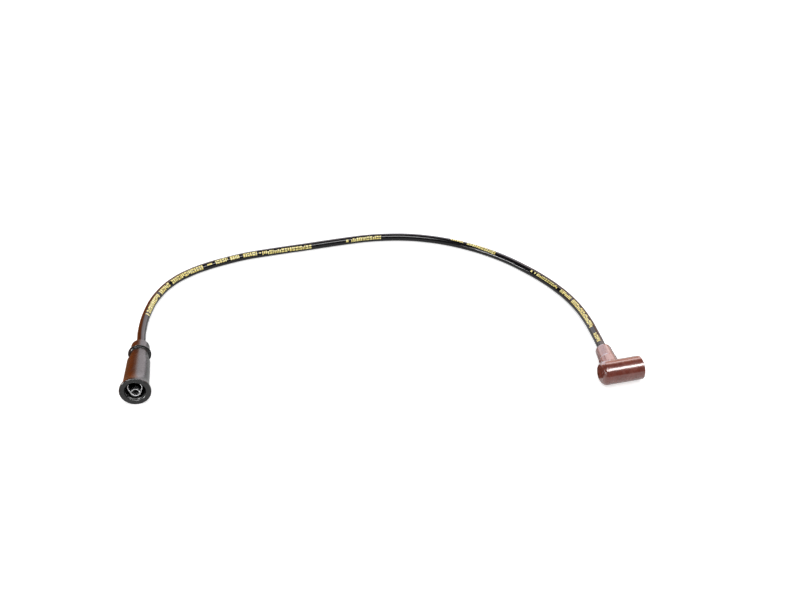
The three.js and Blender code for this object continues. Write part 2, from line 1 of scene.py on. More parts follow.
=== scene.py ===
# %% [markdown]
# # An ignition lead
# A high-tension cable joins two moulded boots: a straight black one for the coil or distributor
# tower and a brown elbow for the spark plug. The solids of the lead are already built and packed, so
# this script only dresses them. It loads them as a fixed frame, lays the printed cable along its
# route, turns the faceted boots into smooth rubber, finishes the metal, and lights a white table.

# %% Load the frame
import bisect
import json
import math
import random

import bpy
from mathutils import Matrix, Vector


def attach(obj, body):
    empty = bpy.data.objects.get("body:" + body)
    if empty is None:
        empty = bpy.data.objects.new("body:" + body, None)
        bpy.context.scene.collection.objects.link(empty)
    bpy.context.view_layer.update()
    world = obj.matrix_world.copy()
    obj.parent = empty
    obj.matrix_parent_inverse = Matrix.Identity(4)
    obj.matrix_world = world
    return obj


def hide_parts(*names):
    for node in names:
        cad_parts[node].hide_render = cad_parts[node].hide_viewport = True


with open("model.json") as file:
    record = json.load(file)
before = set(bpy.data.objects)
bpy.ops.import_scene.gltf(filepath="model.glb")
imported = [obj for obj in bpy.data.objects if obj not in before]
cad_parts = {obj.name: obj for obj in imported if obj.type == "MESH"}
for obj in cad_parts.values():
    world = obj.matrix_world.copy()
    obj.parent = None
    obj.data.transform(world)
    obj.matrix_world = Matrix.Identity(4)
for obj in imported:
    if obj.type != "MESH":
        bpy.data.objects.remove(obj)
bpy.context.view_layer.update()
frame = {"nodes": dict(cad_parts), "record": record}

MM = 0.001
UP = Vector((0, 0, 1))

# %% [markdown]
# ## The camera
# The picture looks down at the lead from in front, at 36.5 degrees. A camera at the origin looks
# straight down, so it is turned up from there. The small shift moves the frame and not the point of
# view, which keeps the perspective of the boots.

# %% Place the camera
CAMERA_PLACE = (-3.8 * MM, -602.3 * MM, 511.3 * MM)
LOOKS_DOWN = 36.5                        # degrees under the horizon
SENSOR_WIDTH = 36                        # mm
LENS = 44.83                             # mm
FRAME_SHIFT = (0.0286, 0.0129)           # as a share of the picture's width

camera_turn = (math.radians(90 - LOOKS_DOWN), 0, 0)
bpy.ops.object.camera_add(location=CAMERA_PLACE, rotation=camera_turn)
camera = bpy.context.active_object
camera.name = "camera"
camera.data.sensor_width = SENSOR_WIDTH
camera.data.lens = LENS
camera.data.shift_x, camera.data.shift_y = FRAME_SHIFT
bpy.context.scene.camera = camera
print("The camera stands", round(camera.location.length, 3), "m from the middle of the lead")

# %% [markdown]
# ## Small helpers
# An operator acts on whatever is selected, so each step first selects exactly one object. Edit mode
# wants its vertices chosen by a rule, and `choose` does that with a test on their places. A solid from
# the frame is loose triangles, so it is copied and welded before anything else is done to it.

# %% Helpers for selecting and editing
WELD = 0.002 * MM                        # vertices closer than this are merged


def select_only(obj):
    """Makes obj the one selected and active object."""
    if bpy.context.object and bpy.context.object.mode != "OBJECT":
        bpy.ops.object.mode_set(mode="OBJECT")
    bpy.ops.object.select_all(action="DESELECT")
    obj.select_set(True)
    bpy.context.view_layer.objects.active = obj


def choose(obj, test):
    """Selects the vertices whose place passes the test, and leaves obj in edit mode."""
    select_only(obj)
    bpy.ops.object.mode_set(mode="EDIT")
    bpy.ops.mesh.select_mode(type="VERT")
    bpy.ops.mesh.select_all(action="DESELECT")
    bpy.ops.object.mode_set(mode="OBJECT")
    for vertex in obj.data.vertices:
        vertex.select = test(vertex.co)
    bpy.ops.object.mode_set(mode="EDIT")


def finish_modifier(obj, kind, **settings):
    """Adds a modifier with these settings and applies it."""
    select_only(obj)
    modifier = obj.modifiers.new(kind.lower(), kind)
    for name, value in settings.items():
        setattr(modifier, name, value)
    bpy.ops.object.modifier_apply(modifier=modifier.name)


def smooth(obj, degrees):
    """Shades obj smoothly, apart from edges that are sharper than this."""
    select_only(obj)
    bpy.ops.object.shade_smooth_by_angle(angle=math.radians(degrees))


def welded_copy(node, name):
    """A copy of a CAD node as a piece of its own, with its loose triangles joined."""
    copy = bpy.data.objects.new(name, frame["nodes"][node].data.copy())
    bpy.context.scene.collection.objects.link(copy)
    copy.data.materials.clear()
    choose(copy, lambda place: True)
    bpy.ops.mesh.remove_doubles(threshold=WELD)
    bpy.ops.object.mode_set(mode="OBJECT")
    return copy


def hand_over(piece, material, slot, *nodes):
    """Gives a finished piece its material and its body, and hides the solids that it stands for. slot is
    not used.
    """
    piece.data.materials.clear()
    piece.data.materials.append(material)
    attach(piece, "root")
    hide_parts(*nodes)
    print(piece.name, "has", len(piece.data.polygons), "faces")


# %% [markdown]
# ## Where the boots point
# Each mouth is a flat ring, and the record gives the direction that it faces. The vertices of the
# boot that lie furthest that way are the ring, so their mean is the middle of the mouth. Everything
# on a boot is then measured from there.

# %% Find the axes of the boots
RING_DEPTH = 0.05 * MM                   # how far a vertex of the ring may lie behind its plane


def mouth_of(node, mount_name):
    """The middle of a boot's mouth and the direction from there into the boot."""
    mount = next(m for m in frame["record"]["mounts"] if m["name"] == mount_name)
    inward = -Vector(mount["axis"]).normalized()
    places = [vertex.co for vertex in frame["nodes"][node].data.vertices]
    plane = min(place.dot(inward) for place in places)
    ring = {place.to_tuple(6) for place in places if place.dot(inward) < plane + RING_DEPTH}
    middle = sum((Vector(place) for place in ring), Vector()) / len(ring)
    return middle, inward


tower_mouth, tower_inward = mouth_of("tower_boot", "tower_mouth")
plug_mouth, plug_inward = mouth_of("plug_boot", "plug_mouth")
print("The mouths are at", tower_mouth / MM, "and", plug_mouth / MM, "mm")

# %% [markdown]
# ## The route of the cable
# The cable is one length of flexible lead. Its line starts inside the tower boot, leaves it straight,
# comes down onto the table, bows away from the viewer and rises a little to enter the neck of the
# elbow. A point of the route with two numbers lies on the table, and a third number is its height.
# A curve with a round bevel would give a tube at once, but the print has to lie on the same line, so
# the line is kept as a chain of short steps that both can follow. A Bezier curve with automatic
# handles passes smoothly through all the points, and Blender turns it into that chain.

# %% The points of the route
CABLE_RADIUS = 3.5 * MM
CABLE_LYING = 3.55 * MM                  # middle of the cable over the table
TOWER_ALONG = (33, 47, 61, 67)           # mm from the mouth, in the tower boot and straight out of it
NECK_ALONG = (34.7, 28.7, 18.15, 7.6)    # mm from the crossing of the elbow's axes
NECK_ANGLE = math.radians(96.2)
ELBOW_TO_MOUTH = 23 * MM
ROUTE = [
    (-199.1, 52.2, 7.0), (-200.1, 82.1, 5.0), (-195.9, 109.0, 3.8), (-186.3, 129.4),
    (-173.3, 143.7), (-158.6, 154.4), (-142.7, 163.1), (-125.8, 170.7), (-108.0, 176.2),
    (-89.8, 181.4), (-71.5, 186.3), (-53.0, 191.6), (-34.3, 196.6), (-15.3, 201.0),
    (3.9, 203.1), (23.1, 203.1), (42.2, 200.3), (60.9, 195.0), (78.9, 187.3),
    (96.2, 177.5), (112.4, 165.6), (127.5, 151.2), (141.4, 135.5), (153.8, 118.1),
    (163.9, 97.3, 4.3), (170.6, 71.9, 6.4), (174.2, 45.4, 8.5),
]

elbow = plug_mouth + plug_inward * ELBOW_TO_MOUTH
neck_way = Vector((math.cos(NECK_ANGLE), math.sin(NECK_ANGLE), 0))
in_tower = [tower_mouth + tower_inward * along * MM for along in TOWER_ALONG]
in_neck = [elbow + neck_way * along * MM for along in NECK_ALONG]
lying = [Vector((x * MM, y * MM, z[0] * MM if z else CABLE_LYING)) for x, y, *z in ROUTE]
points = in_tower + lying + in_neck
print("The route has", len(points), "points")

# %% The line through the points
STEPS_PER_POINT = 12

curve = bpy.data.curves.new("route", "CURVE")
curve.dimensions = "3D"
curve.resolution_u = STEPS_PER_POINT
spline = curve.splines.new("BEZIER")
spline.bezier_points.add(len(points) - 1)
for knot, place in zip(spline.bezier_points, points):
    knot.co = place
    knot.handle_left_type = knot.handle_right_type = "AUTO"
route = bpy.data.objects.new("route", curve)
bpy.context.scene.collection.objects.link(route)
select_only(route)
bpy.ops.object.convert(target="MESH")
line = [vertex.co.copy() for vertex in route.data.vertices]
bpy.data.objects.remove(route)

reach = [0.0]
for before, after in zip(line, line[1:]):
    reach.append(reach[-1] + (after - before).length)
cable_length = reach[-1]
print("The cable is", round(cable_length / MM, 1), "mm long in", len(line) - 1, "steps")

# %% [markdown]
# A place on the jacket is a length along the cable and a turn round it, counted from the top towards
# the outside of the bow. `on_cable` turns such a pair into a place in the room, and `wrap` does that
# for every vertex of a flat sheet. So the jacket and its print can both be made as flat sheets, which
# is much easier than modelling them in their bends.

# %% Wrap a sheet round the cable
def on_cable(length, turn, radius):
    """The place at this length, this turn in radians and this distance from the middle."""
    step = min(bisect.bisect_right(reach, length), len(reach) - 1)
    share = (length - reach[step - 1]) / (reach[step] - reach[step - 1])
    middle = line[step - 1].lerp(line[step], share)
    behind = line[step] - line[max(step - 2, 0)]
    ahead = line[min(step + 1, len(line) - 1)] - line[step - 1]
    along = behind.normalized().lerp(ahead.normalized(), share).normalized()
    outward = UP.cross(along).normalized()
    upward = along.cross(outward)
    return middle + (upward * math.cos(turn) + outward * math.sin(turn)) * radius


def wrap(sheet):
    """Wraps a sheet, with its length along X, its way round along Y and its height along Z."""
    for vertex in sheet.data.vertices:
        length, way_round, height = vertex.co
        vertex.co = on_cable(length, way_round / CABLE_RADIUS, CABLE_RADIUS + height)
    choose(sheet, lambda place: True)
    bpy.ops.mesh.remove_doubles(threshold=WELD)
    bpy.ops.mesh.normals_make_consistent(inside=False)
    bpy.ops.object.mode_set(mode="OBJECT")


# %% [markdown]
# ## The jacket
# The real jacket is synthetic rubber, drawn over the core by a die, so it is evenly round and glossy.
# Here it is a grid that is as long as the cable and as wide as the way round it. Wrapping brings its
# two long sides together under the cable, where they are merged, and the two open ends are filled.
# The grid's own UV map stays on it: U runs along the cable and V goes round it.

# %% Make the jacket
JACKET_RINGS = 420
JACKET_SIDES = 40

bpy.ops.object.select_all(action="DESELECT")
bpy.ops.mesh.primitive_grid_add(x_subdivisions=JACKET_RINGS, y_subdivisions=JACKET_SIDES, size=1,
                                location=(0.5, 0, 0))
cable = bpy.context.active_object
cable.name = "cable_jacket"
cable.scale = (cable_length, 2 * math.pi * CABLE_RADIUS, 1)
cable.location.x = cable_length / 2
bpy.ops.object.transform_apply(location=True, rotation=True, scale=True)
wrap(cable)
bpy.ops.object.mode_set(mode="EDIT")
bpy.ops.mesh.select_all(action="SELECT")
bpy.ops.mesh.fill_holes(sides=0)
bpy.ops.mesh.normals_make_consistent(inside=False)
bpy.ops.object.mode_set(mode="OBJECT")
smooth(cable, 40)
print("The jacket has", len(cable.data.polygons), "faces")

# %% [markdown]
# ## The print
# Yellow ink runs along the jacket in stretches. Each stretch is a row of plain blocks, with the height
# and the spacing that ink on a cable has: narrow bars, wider solid ones, ones that are slit along the
# middle, and ones that fill only the lower or the upper part. The line of ink isn't straight, because
# the cable is twisted as it lies, so every stretch says how far round the jacket it starts and ends.
# An image would be a simpler way, but real blocks stay sharp at any distance. One small grid is the
# pattern for all of them. Its copies are laid out flat, joined, given the thickness of the ink and
# wrapped like the jacket.

# %% The stretches of print
INK_LIFT = 0.05 * MM                     # the ink stands this far out of the jacket
INK_SINK = 0.1 * MM                      # and reaches this far into it, so that no gap shows
# Each stretch: from and to along the cable, turn in degrees at each end, height in mm
STRETCHES = [
    (75.2, 104.5, -38, -42, 4.0), (107.0, 122.5, -42, -43, 4.0), (125.8, 161.0, -43, -46, 4.0),
    (174.0, 185.6, -37, -35, 3.5), (188.2, 197.8, -35, -37, 3.5), (200.8, 213.8, -40, -44, 3.5),
    (218.8, 265.0, -55, -66, 3.4), (303.5, 332.5, -60, -57, 3.1), (399.5, 412.0, 12, 2, 3.0),
    (416.0, 446.0, -2, -26, 3.2), (494.5, 521.0, -38, -36, 2.2), (525.5, 541.0, -33, -29, 2.9),
    (544.0, 587.5, -29, -27, 3.6), (597.0, 609.5, -28, -26, 3.0),
]
# Single marks between them: from and to along the cable, turn in degrees, height in mm
MARKS = [
    (71.0, 72.6, -38, 3.8), (165.6, 170.4, -40, 1.3), (216.0, 217.6, -46, 1.2),
    (298.6, 300.8, -60, 2.2), (487.0, 488.8, -36, 1.8), (491.4, 492.8, -36, 1.6),
]
print("The print has", len(STRETCHES), "stretches and", len(MARKS), "single marks")

# %% Lay the blocks out flat
BLOCK_WIDTHS = {"bar": 0.9, "solid": 1.5, "slit": 2.3, "low": 1.2, "high": 1.2}     # mm
BLOCK_ORDER = ("bar", "solid", "slit", "bar", "slit", "low", "high")
BLOCK_LIFTS = {"low": -0.25, "high": 0.25}   # share of the height that stays empty
WIDTH_SPREAD = (0.85, 1.2)
SPACES = (0.45, 0.7)                     # mm between two blocks
SLIT = 0.7                               # mm
SHORTEST = 0.5                           # mm, a shorter rest of a stretch stays bare

bpy.ops.object.select_all(action="DESELECT")
bpy.ops.mesh.primitive_grid_add(x_subdivisions=2, y_subdivisions=6, size=1, location=(0, 0, 0))
pattern = bpy.context.active_object
blocks = []


def lay_block(start, end, turn, low, high):
    """Lays one block, from start to end and from low to high in mm, at a turn in degrees."""
    block = bpy.data.objects.new("block", pattern.data.copy())
    bpy.context.scene.collection.objects.link(block)
    middle = math.radians(turn) * CABLE_RADIUS + (low + high) / 2 * MM
    block.location = ((start + end) / 2 * MM, middle, 0)
    block.scale = ((end - start) * MM, (high - low) * MM, 1)
    blocks.append(block)


chance = random.Random(5)
for start, end, turn_start, turn_end, height in STRETCHES:
    place = start
    top = height / 2
    while place < end - SHORTEST:
        turn = turn_start + (turn_end - turn_start) * (place - start) / (end - start)
        kind = chance.choice(BLOCK_ORDER)
        stop = min(place + BLOCK_WIDTHS[kind] * chance.uniform(*WIDTH_SPREAD), end)
        if kind == "slit":
            lay_block(place, stop, turn, -top, -SLIT / 2)
            lay_block(place, stop, turn, SLIT / 2, top)
        else:
            lift = BLOCK_LIFTS.get(kind, 0) * height
            lay_block(place, stop, turn, -top + max(lift, 0), top + min(lift, 0))
        place = stop + chance.uniform(*SPACES)
for start, end, turn, height in MARKS:
    lay_block(start, end, turn, -height / 2, height / 2)
print("The print has", len(blocks), "blocks")

# %% Wrap the ink round the jacket
bpy.data.objects.remove(pattern)
ink = bpy.data.objects.new("cable_print", bpy.data.meshes.new("cable_print"))
bpy.context.scene.collection.objects.link(ink)
select_only(ink)
for block in blocks:
    block.select_set(True)
bpy.ops.object.join()
finish_modifier(ink, "SOLIDIFY", thickness=INK_LIFT + INK_SINK, offset=-1)
for vertex in ink.data.vertices:
    vertex.co.z += INK_LIFT
wrap(ink)
smooth(ink, 40)
print("The print has", len(ink.data.polygons), "faces")

# %% [markdown]
# ## The tower boot
# The boot is a solid of revolution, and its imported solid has 36 flat sides. All the vertices above
# its axis, in the upright plane through it, are the outline of its section. That outline is kept, its
# corners are rounded, and it is spun round the axis in fine steps. The size stays the frame's own.
# Just inside the mouth the real boot has a steep moulded chamfer, which catches the light, so the
# inner end of the lead-in is first moved towards the mouth.

# %% Spin the tower boot
SPIN_STEPS = 120
CORNER_SHARE = 30                        # percent of each side that a rounded corner takes
TOWER_BORE_RADIUS = 7.3 * MM
LEAD_IN_END = 4.1 * MM                   # from the mouth
CHAMFER_END = 2.3 * MM
ON_PLANE = 0.01 * MM                     # the outline lies this near the upright plane
NEAR_CORNER = 0.2 * MM

tower_up = (UP - tower_inward * UP.dot(tower_inward)).normalized()
tower_side = tower_inward.cross(tower_up)
tower_boot = welded_copy("tower_boot", "tower_boot_rubber")


def off_the_outline(place):
    arm = place - tower_mouth
    return abs(arm.dot(tower_side)) > ON_PLANE or arm.dot(tower_up) < 0


def at_the_lead_in(place):
    arm = place - tower_mouth
    off_bore = abs(arm.dot(tower_up) - TOWER_BORE_RADIUS)
    off_end = abs(arm.dot(tower_inward) - LEAD_IN_END)
    return max(off_bore, off_end) < NEAR_CORNER


choose(tower_boot, off_the_outline)
bpy.ops.mesh.delete(type="VERT")
choose(tower_boot, at_the_lead_in)
bpy.ops.transform.translate(value=tower_inward * (CHAMFER_END - LEAD_IN_END))
moved = sum(vertex.select for vertex in tower_boot.data.vertices)
print("Of the", len(tower_boot.data.vertices), "corners of the outline the chamfer moves", moved)
bpy.ops.mesh.select_all(action="SELECT")
bpy.ops.mesh.bevel(offset_type="PERCENT", offset_pct=CORNER_SHARE, segments=3, affect="VERTICES")
bpy.ops.mesh.select_all(action="SELECT")
bpy.ops.mesh.spin(steps=SPIN_STEPS, angle=2 * math.pi, center=tower_mouth, axis=tower_inward)
bpy.ops.mesh.select_all(action="SELECT")
bpy.ops.mesh.remove_doubles(threshold=WELD)
bpy.ops.mesh.normals_make_consistent(inside=False)
bpy.ops.object.mode_set(mode="OBJECT")
smooth(tower_boot, 40)
print("The tower boot has", len(tower_boot.data.polygons), "faces")

# %% [markdown]
# ## The plug boot
# The elbow is moulded in one piece, and where its neck grows out of the socket the rubber runs round
# in a small hollow. A bevel can't follow that curved corner, because the cut leaves slivers there. So
# a copy of the solid is rebuilt from small cubes of equal size and relaxed, which turns the corner
# into a soft blend. Relaxing shrinks the round parts a little, so afterwards each vertex that lies
# near the socket's cylinder, or near its bore, is put back at the true radius.

# %% Soften the elbow
VOXEL = 0.32 * MM
PLUG_RADIUS = 9.4 * MM
PLUG_BORE_RADIUS = 5.6 * MM
RELAX_STEPS = 8
NEAR_CYLINDER = 0.25 * MM

plug_boot = welded_copy("plug_boot", "plug_boot_rubber")
finish_modifier(plug_boot, "REMESH", mode="VOXEL", voxel_size=VOXEL, adaptivity=0)
finish_modifier(plug_boot, "SMOOTH", factor=0.5, iterations=RELAX_STEPS)
for vertex in plug_boot.data.vertices:
    arm = vertex.co - plug_mouth
    along = arm.dot(plug_inward)
    out = arm - plug_inward * along
    for radius in (PLUG_RADIUS, PLUG_BORE_RADIUS):
        if abs(out.length - radius) < NEAR_CYLINDER:
            vertex.co += out.normalized() * (radius - out.length)
smooth(plug_boot, 60)
print("The plug boot has", len(plug_boot.data.polygons), "faces")

# %% [markdown]
# ## The metal
# On the real lead the two terminals are stamped and folded from thin sheet, the spring in the tower
# boot is a bent strip, the clip round the plug's socket is spring wire, and the conductor is a strand
# that is folded back under each crimp. They could be folded again from flat strips, but the packed
# solids already hold every fold. So a copy of each is welded, its flat areas are cleaned of needless
# edges, and a tiny bevel gives every sheet edge a line of light. Wire and strand are round already.

# %% Dress the terminals
EDGE = 0.05 * MM
FLAT = math.radians(1)                   # faces that meet at less than this are one
CORNER = math.radians(50)                # and an edge sharper than this is rounded


def sheet_metal(node, name, edge=EDGE):
    """A copy of a metal part, with fine rounded edges unless edge is 0."""
    piece = welded_copy(node, name)
    bpy.ops.object.mode_set(mode="EDIT")
    bpy.ops.mesh.select_all(action="SELECT")
    bpy.ops.mesh.dissolve_limited(angle_limit=FLAT)
    bpy.ops.object.mode_set(mode="OBJECT")
    if edge:
        finish_modifier(piece, "BEVEL", width=edge, segments=2, limit_method="ANGLE",
                        angle_limit=CORNER)
    smooth(piece, 35)
    return piece


tower_terminal = sheet_metal("tower_terminal", "tower_terminal_sheet")
tower_spring = sheet_metal("tower_spring", "tower_spring_strip")
plug_terminal = sheet_metal("plug_terminal", "plug_terminal_sheet")
plug_clip = sheet_metal("plug_clip", "plug_clip_wire", edge=0)
tower_strand = sheet_metal("tower_conductor", "tower_conductor_strand", edge=0)
plug_strand = sheet_metal("plug_conductor", "plug_conductor_strand", edge=0)
print("The metal has", sum(len(piece.data.polygons) for piece in (
    tower_terminal, tower_spring, plug_terminal, plug_clip)), "faces")

# %% [markdown]
# ## Materials
# Rubber is never one flat colour. Under a glossy skin its tone drifts a little, the skin is uneven by
# a few hundredths of a millimetre, and it shines unevenly where it has been handled. An image could
# hold all that, but it would blur close up. So each rubber gets three noises: one on the colour, one
# on the roughness and one as a fine bump. The brown silicone also has a clear coat, for its gloss.

# %% A helper for materials
def add_node(material, kind, **inputs):
    """Adds a node, sets its inputs or links them, and returns it."""
    node = material.node_tree.nodes.new("ShaderNode" + kind)
    for name, value in inputs.items():
        socket = node.inputs[name.replace("_", " ")]
        if isinstance(value, bpy.types.NodeSocket):
            material.node_tree.links.new(value, socket)
        else:
            socket.default_value = value
    return node


def new_material(name, colour, roughness, metallic=0.0, specular=0.5, coat=0.0):
    """A material with one shader and its plain values."""
    material = bpy.data.materials.new(name)
    material.use_nodes = True
    shader = material.node_tree.nodes["Principled BSDF"]
    shader.inputs["Base Color"].default_value = (*colour, 1)
    shader.inputs["Roughness"].default_value = roughness
    shader.inputs["Metallic"].default_value = metallic
    shader.inputs["Specular IOR Level"].default_value = specular
    shader.inputs["Coat Weight"].default_value = coat
    shader.inputs["Coat Roughness"].default_value = 0.08
    return material, shader


def vary(material, shader, coordinates, colours, roughness, scale, bump, bump_scale, depth):
    """Lets the colour and the roughness drift between two values, and adds a fine bump."""
    links = material.node_tree.links
    drift = add_node(material, "TexNoise", Vector=coordinates, Scale=scale, Detail=4.0)
    ramp = add_node(material, "ValToRGB", Fac=drift.outputs["Fac"])
    ramp.color_ramp.elements[0].position = 0.35
    ramp.color_ramp.elements[1].position = 0.65
    ramp.color_ramp.elements[0].color = (*colours[0], 1)
    ramp.color_ramp.elements[1].color = (*colours[1], 1)
    links.new(ramp.outputs["Color"], shader.inputs["Base Color"])
    handled = add_node(material, "TexNoise", Vector=coordinates, Scale=scale * 2.7, Detail=3.0)
    spread = add_node(material, "MapRange", Value=handled.outputs["Fac"], From_Min=0.3, From_Max=0.7,
                      To_Min=roughness[0], To_Max=roughness[1])
    links.new(spread.outputs["Result"], shader.inputs["Roughness"])
    grain = add_node(material, "TexNoise", Vector=coordinates, Scale=bump_scale, Detail=3.0)
    relief = add_node(material, "Bump", Height=grain.outputs["Fac"], Strength=bump, Distance=depth)
    links.new(relief.outputs["Normal"], shader.inputs["Normal"])
    return relief


def object_place(material):
    """The place on the piece, for a pattern that stays with it."""
    return add_node(material, "TexCoord").outputs["Object"]


# %% Rubber, silicone and ink
black_rubber, shader = new_material("black_rubber", (0.006, 0.006, 0.007), 0.28, specular=0.5)
vary(black_rubber, shader, object_place(black_rubber), ((0.004, 0.004, 0.005), (0.009, 0.009, 0.010)),
     (0.22, 0.34), 90, 0.12, 900, 0.04 * MM)

brown_silicone, shader = new_material("brown_silicone", (0.19, 0.042, 0.028), 0.25, coat=1.0)
vary(brown_silicone, shader, object_place(brown_silicone), ((0.16, 0.032, 0.020), (0.22, 0.052, 0.035)),
     (0.2, 0.32), 110, 0.1, 700, 0.04 * MM)

cable_jacket, shader = new_material("cable_jacket", (0.006, 0.006, 0.007), 0.12, specular=0.3)
along_cable = add_node(cable_jacket, "UVMap").outputs["UV"]
vary(cable_jacket, shader, along_cable, ((0.004, 0.004, 0.005), (0.009, 0.008, 0.009)),
     (0.09, 0.15), 40, 0.08, 260, 0.02 * MM)

yellow_ink, shader = new_material("yellow_ink", (0.95, 0.80, 0.25), 0.4)
vary(yellow_ink, shader, object_place(yellow_ink), ((0.84, 0.66, 0.15), (0.99, 0.90, 0.36)),
     (0.35, 0.5), 260, 0.15, 1500, 0.02 * MM)
print("Four finishes for rubber, silicone and ink are ready")

# %% [markdown]
# The terminals are stamped sheet. Plated steel stays bright, and brass shows a warmer tone with a few
# dull patches. The conductor is a carbon-loaded strand, so it is matt and rough like yarn.

# %% Metal and strand
plated_steel, shader = new_material("plated_steel", (0.78, 0.78, 0.79), 0.25, metallic=1.0)
vary(plated_steel, shader, object_place(plated_steel), ((0.66, 0.66, 0.67), (0.84, 0.84, 0.85)),
     (0.18, 0.34), 400, 0.15, 3000, 0.02 * MM)

stamped_brass, shader = new_material("stamped_brass", (0.76, 0.58, 0.30), 0.28, metallic=1.0)
vary(stamped_brass, shader, object_place(stamped_brass), ((0.62, 0.45, 0.21), (0.82, 0.65, 0.36)),
     (0.2, 0.38), 400, 0.15, 3000, 0.02 * MM)

carbon_strand, shader = new_material("carbon_strand", (0.03, 0.03, 0.03), 0.75)
vary(carbon_strand, shader, object_place(carbon_strand), ((0.02, 0.02, 0.02), (0.055, 0.055, 0.06)),
     (0.6, 0.85), 900, 0.8, 4500, 0.1 * MM)
print("Three finishes for metal and strand are ready")

# %% [markdown]
# ## Hand the pieces over
# Each piece rides on the one body of the lead and stands for the solid that it dresses, which is hidden.

# %% Ride and replace
hand_over(cable, cable_jacket, "cable_jacket", "ignition_cable")
hand_over(ink, yellow_ink, "cable_jacket")
hand_over(tower_boot, black_rubber, "black_rubber", "tower_boot")
hand_over(plug_boot, brown_silicone, "brown_silicone", "plug_boot")
hand_over(tower_terminal, plated_steel, "terminal_steel", "tower_terminal")
hand_over(tower_spring, plated_steel, "terminal_steel", "tower_spring")
hand_over(plug_terminal, stamped_brass, "terminal_brass", "plug_terminal")
hand_over(plug_clip, plated_steel, "terminal_steel", "plug_clip")
hand_over(tower_strand, carbon_strand, "conductor_strand", "tower_conductor")
hand_over(plug_strand, carbon_strand, "conductor_strand", "plug_conductor")

# %% [markdown]
# ## The table
# The lead lies on a white table that runs into a white room. The table is matt, so the lead throws
# a faint soft shadow on it, and it glows a little of itself, so that the camera sees it as plain white.
# In a reflection it glows less, because a glossy boot shows the table under it as a pale grey.

# %% Which rays find the white surroundings
def seen_or_mirrored(owner):
    """An output that is 1 for camera, glossy and transmission rays, and 0 for all others."""
    rays = add_node(owner, "LightPath")
    answer = rays.outputs["Is Camera Ray"]
    for name in ("Is Glossy Ray", "Is Transmission Ray"):
        either = add_node(owner, "Math")
        either.operation = "MAXIMUM"
        owner.node_tree.links.new(answer, either.inputs[0])
        owner.node_tree.links.new(rays.outputs[name], either.inputs[1])
        answer = either.outputs[0]
    return answer


def show_choice(owner, share, plain, white, output):
    """Shows the plain shader, and the white one to the rays for which share is 1."""
    links = owner.node_tree.links
    choice = add_node(owner, "MixShader")
    links.new(share, choice.inputs[0])
    links.new(plain.outputs[0], choice.inputs[1])
    links.new(white.outputs[0], choice.inputs[2])
    links.new(choice.outputs[0], owner.node_tree.nodes[output].inputs["Surface"])


# %% The white table
TABLE_SIZE = 8.0
GLOW_SEEN = 0.65
GLOW_MIRRORED = 0.2

bpy.ops.object.select_all(action="DESELECT")
bpy.ops.mesh.primitive_plane_add(size=TABLE_SIZE, location=(0, 0, 0))
table = bpy.context.active_object
table.name = "table"
white_table = bpy.data.materials.new("white_table")
white_table.use_nodes = True
white_table.node_tree.nodes.remove(white_table.node_tree.nodes["Principled BSDF"])
matt = add_node(white_table, "BsdfDiffuse", Color=(0.8, 0.8, 0.8, 1))
rays = add_node(white_table, "LightPath")
strength = add_node(white_table, "MapRange", Value=rays.outputs["Is Camera Ray"],
                    To_Min=GLOW_MIRRORED, To_Max=GLOW_SEEN)
glow = add_node(white_table, "Emission", Color=(1, 1, 1, 1), Strength=strength.outputs["Result"])
both = add_node(white_table, "AddShader")
white_table.node_tree.links.new(matt.outputs[0], both.inputs[0])
white_table.node_tree.links.new(glow.outputs[0], both.inputs[1])
show_choice(white_table, seen_or_mirrored(white_table), matt, both, "Material Output")
table.data.materials.append(white_table)
print("The table is", TABLE_SIZE, "m wide")

# %% The white room
ROOM_LIGHT = 0.5                         # what the room gives as light
ROOM_WHITE = 1.0                         # what the camera and a reflection find in it

room = bpy.data.worlds.new("room")
bpy.context.scene.world = room
room.use_nodes = True
plain = room.node_tree.nodes["Background"]
plain.inputs["Strength"].default_value = ROOM_LIGHT
plain.inputs["Color"].default_value = (1, 1, 1, 1)
white = add_node(room, "Background", Color=(1, 1, 1, 1), Strength=ROOM_WHITE)
show_choice(room, seen_or_mirrored(room), plain, white, "World Output")
print("The room lights with", ROOM_LIGHT, "and shows", ROOM_WHITE)

# %% [markdown]
# ## The light
# One large soft lamp overhead lights the rubber. Lamps could draw the gloss too, but a lamp that is
# strong enough for that would burn out the rest. So everything that shines comes from cards, as in a
# product studio, and only reflections see them.

# %% The soft lamp
SOFT_TOP = 2.0
SOFT_RADIANCE = 1.5

bpy.ops.object.light_add(type="AREA", location=(0, -0.3, 1.6))
soft_top = bpy.context.active_object
soft_top.name = "soft_top"
soft_top.data.shape = "SQUARE"
soft_top.data.size = SOFT_TOP
soft_top.data.energy = SOFT_RADIANCE * math.pi * SOFT_TOP * SOFT_TOP
soft_top.visible_camera = False
soft_top.visible_glossy = False
print("The soft lamp is", SOFT_TOP, "m wide")

# %% A helper for cards
def card(name, place, turn, width, depth, colour):
    """A flat card that only reflections see, with the colour times strength that they find there."""
    bpy.ops.object.select_all(action="DESELECT")
    bpy.ops.mesh.primitive_plane_add(size=1, location=place, rotation=[math.radians(a) for a in turn])
    piece = bpy.context.active_object
    piece.name = name
    piece.scale = (width, depth, 1)
    bpy.ops.object.transform_apply(location=False, rotation=False, scale=True)
    paint = bpy.data.materials.new(name)
    paint.use_nodes = True
    paint.node_tree.nodes.remove(paint.node_tree.nodes["Principled BSDF"])
    shine = add_node(paint, "Emission", Color=(*colour, 1), Strength=1.0)
    paint.node_tree.links.new(shine.outputs[0], paint.node_tree.nodes["Material Output"].inputs["Surface"])
    piece.data.materials.append(paint)
    piece.visible_camera = False
    piece.visible_diffuse = False
    piece.visible_transmission = False
    piece.visible_volume_scatter = False
    piece.visible_shadow = False
    return paint, shine


